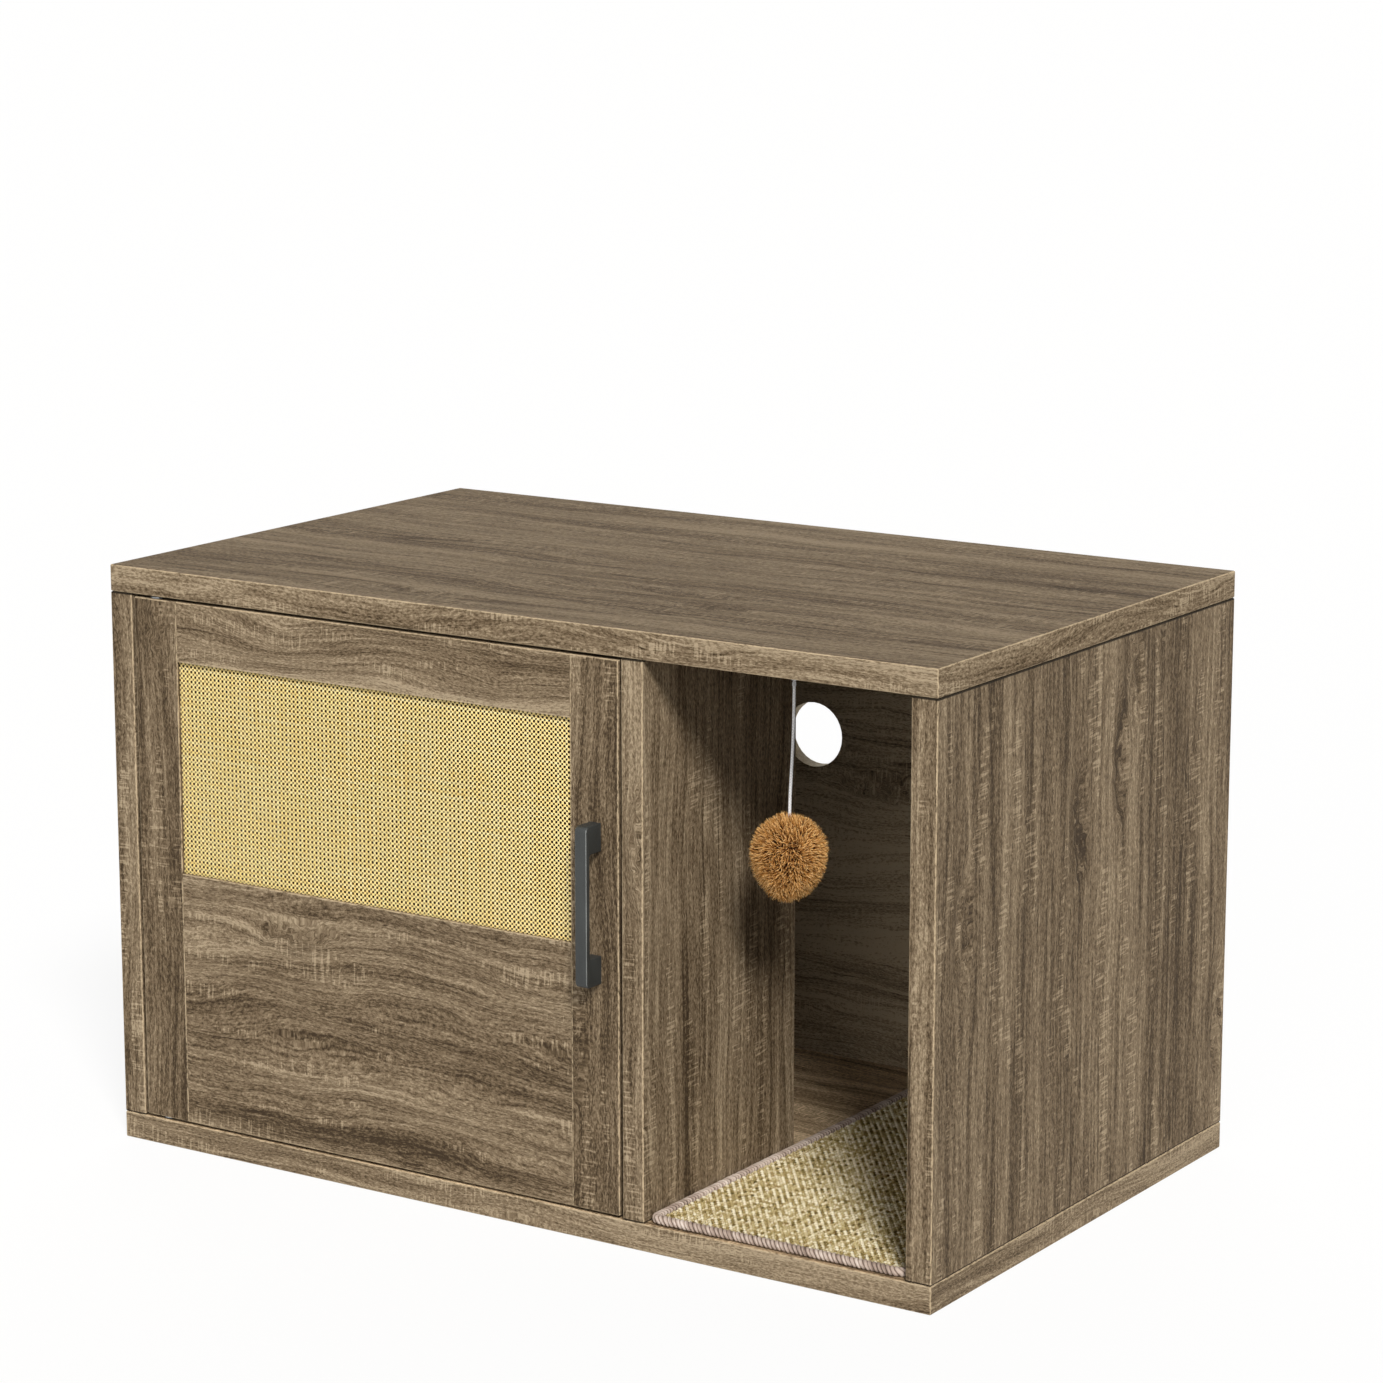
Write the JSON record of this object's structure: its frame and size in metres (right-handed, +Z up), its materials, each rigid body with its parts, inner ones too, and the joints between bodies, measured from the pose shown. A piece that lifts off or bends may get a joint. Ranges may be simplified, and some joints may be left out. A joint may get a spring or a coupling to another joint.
{
  "type": "cat litter box cabinet",
  "caption": "Low wooden cabinet that hides a litter box: an inset rattan-fronted door on pin hinges beside an open bay with a scratch mat and a hanging pompom.",
  "frame": {"origin": "centre of the bottom board's underside, where the cabinet stands", "axes": "+X to the right along the cabinet's width, +Y to the back, +Z up"},
  "size_m": [0.88, 0.5626, 0.55],
  "materials": {
    "oak_laminate": "matt grey-brown oak laminate with embossed grain",
    "rattan": "open square weave of pale cane",
    "black_metal": "fine matt charcoal powder coat",
    "zinc": "bright zinc plate",
    "steel": "plain steel",
    "nylon": "dark brown moulded nylon",
    "brown_plastic": "moulded brown plastic",
    "magnet": "sintered ferrite",
    "sisal": "coarse ribbed sisal weave",
    "wrapped_yarn": "overlocked taupe yarn",
    "rubber_backing": "matt latex",
    "white_cord": "twisted white cord",
    "brown_pile": "dense caramel yarn pile"
  },
  "bodies": {
    "cabinet": {"top_board": "oak_laminate", "bottom_board": "oak_laminate", "left_side_board": "oak_laminate", "right_side_board": "oak_laminate", "divider_board": "oak_laminate", "back_board": "oak_laminate", "cam_lock_left_bottom_front": "zinc", "cam_lock_left_bottom_back": "zinc", "cam_lock_left_top_front": "zinc", "cam_lock_left_top_back": "zinc", "cam_lock_right_bottom_front": "zinc", "cam_lock_right_bottom_back": "zinc", "cam_lock_right_top_front": "zinc", "cam_lock_right_top_back": "zinc", "cam_lock_divider_bottom_middle": "zinc", "cam_lock_divider_top_middle": "zinc", "cam_bolt_left_bottom_front": "zinc", "cam_bolt_left_bottom_back": "zinc", "cam_bolt_left_top_front": "zinc", "cam_bolt_left_top_back": "zinc", "cam_bolt_right_bottom_front": "zinc", "cam_bolt_right_bottom_back": "zinc", "cam_bolt_right_top_front": "zinc", "cam_bolt_right_top_back": "zinc", "cam_bolt_divider_bottom_middle": "zinc", "cam_bolt_divider_top_middle": "zinc", "upper_hinge_bushing": "nylon", "lower_hinge_bushing": "nylon", "toy_screw_eye": "zinc", "catch_body": "brown_plastic", "catch_magnet": "magnet", "catch_screw_lower": "steel", "catch_screw_upper": "steel"},
    "door": {"door_hinge_stile": "oak_laminate", "door_handle_stile": "oak_laminate", "door_top_rail": "oak_laminate", "door_lower_panel": "oak_laminate", "rattan_sheet": "rattan", "rattan_bead_top": "oak_laminate", "rattan_bead_bottom": "oak_laminate", "rattan_bead_left": "oak_laminate", "rattan_bead_right": "oak_laminate", "door_handle": "black_metal", "handle_screw_lower": "steel", "handle_screw_upper": "steel", "upper_hinge_pin": "steel", "lower_hinge_pin": "steel", "strike_plate": "zinc", "strike_screw_lower": "steel", "strike_screw_upper": "steel"},
    "mat": {"sisal_mat": "sisal", "mat_binding": "wrapped_yarn", "mat_backing": "rubber_backing"},
    "toy_loop": {"toy_cord_loop": "white_cord"},
    "toy": {"toy_cord": "white_cord", "pompom": "brown_pile"}
  },
  "joints": [
    {"name": "door_hinge", "type": "hinge", "parent": "cabinet", "child": "door", "pos_m": [-0.39, -0.261, 0.275], "axis": [0, 0, -1], "range_deg": [0, 110]},
    {"name": "mat_slide", "type": "slide", "parent": "cabinet", "child": "mat", "axis": [0, -1, 0], "range_m": [0, 0.48]},
    {"name": "toy_swing_side", "type": "hinge", "parent": "cabinet", "child": "toy_loop", "pos_m": [0.2407, -0.17, 0.5089], "axis": [0, -1, 0], "range_deg": [-15, 45]},
    {"name": "toy_swing_fore", "type": "hinge", "parent": "toy_loop", "child": "toy", "pos_m": [0.2407, -0.17, 0.5017], "axis": [1, 0, 0], "range_deg": [-45, 45]}
  ]
}
